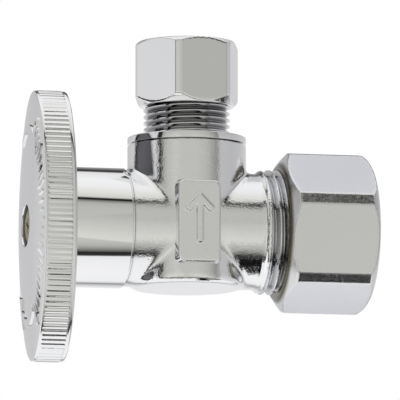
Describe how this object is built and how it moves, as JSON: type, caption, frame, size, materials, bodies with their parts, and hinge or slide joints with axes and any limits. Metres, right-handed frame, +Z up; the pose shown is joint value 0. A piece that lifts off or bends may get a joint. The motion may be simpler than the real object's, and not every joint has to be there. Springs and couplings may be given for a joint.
{
  "type": "angle stop valve",
  "caption": "Quarter-turn angle stop valve with an oval ribbed handle, a horizontal compression inlet and an upright compression outlet.",
  "frame": {"origin": "centre of the inlet tube's stop, on the inlet's axis: the end face of the tube that holds the valve up", "axes": "+X out of the inlet along the tube, -X to the handle; +Z up out of the outlet; -Y is the front with the flow arrow"},
  "size_m": [0.0573, 0.0258, 0.0538],
  "materials": {
    "chrome_body": "polished chrome plate over a forged and turned brass body, faint orange peel",
    "chrome_nut": "polished chrome plate over machined brass hexagons",
    "chrome_handle": "polished chrome plate over die-cast zinc",
    "chrome_ball": "hard chrome plate, lapped",
    "brass": "bare machined brass",
    "brass_screw": "dulled brass, slightly brown",
    "spring_steel": "zinc-plated spring steel",
    "white_plastic": "PTFE, waxy white",
    "black_rubber": "nitrile rubber, satin black"
  },
  "bodies": {
    "valve": {"valve_body": "chrome_body", "outlet_adapter": "chrome_body", "adapter_seal": "black_rubber", "seat_seal": "black_rubber", "upper_seat": "white_plastic", "lower_seat": "white_plastic", "bonnet": "chrome_body", "bonnet_seal": "black_rubber", "thrust_washer": "white_plastic"},
    "handle_and_stem": {"handle": "chrome_handle", "handle_screw": "brass_screw", "screw_lock_washer": "spring_steel", "stem": "brass", "stem_o_ring_inner": "black_rubber", "stem_o_ring_outer": "black_rubber", "ball": "chrome_ball"},
    "inlet_sleeve": {"inlet_ferrule": "brass"},
    "inlet_coupling_nut": {"inlet_nut": "chrome_nut"},
    "outlet_sleeve": {"outlet_ferrule": "brass"},
    "outlet_coupling_nut": {"outlet_nut": "chrome_nut"}
  },
  "joints": [
    {"name": "handle_turn", "type": "hinge", "parent": "valve", "child": "handle_and_stem", "pos_m": [-0.0165, 0, 0], "axis": [1, 0, 0], "range_deg": [0, 90]},
    {"name": "inlet_nut_travel", "type": "slide", "parent": "valve", "child": "inlet_sleeve", "axis": [1, 0, 0], "range_m": [0, 0.0085]},
    {"name": "inlet_nut_turn", "type": "hinge", "parent": "inlet_sleeve", "child": "inlet_coupling_nut", "pos_m": [0, 0, 0], "axis": [1, 0, 0], "range_deg": [0, 2160]},
    {"name": "outlet_nut_travel", "type": "slide", "parent": "valve", "child": "outlet_sleeve", "axis": [0, 0, 1], "range_m": [0, 0.00636]},
    {"name": "outlet_nut_turn", "type": "hinge", "parent": "outlet_sleeve", "child": "outlet_coupling_nut", "pos_m": [-0.0165, 0, 0], "axis": [0, 0, 1], "range_deg": [0, 2160]}
  ],
  "couplings": [
    {"joint": "inlet_nut_travel", "follows": "inlet_nut_turn", "m_per_rad": 0.00022457},
    {"joint": "outlet_nut_travel", "follows": "outlet_nut_turn", "m_per_rad": 0.00016839}
  ]
}
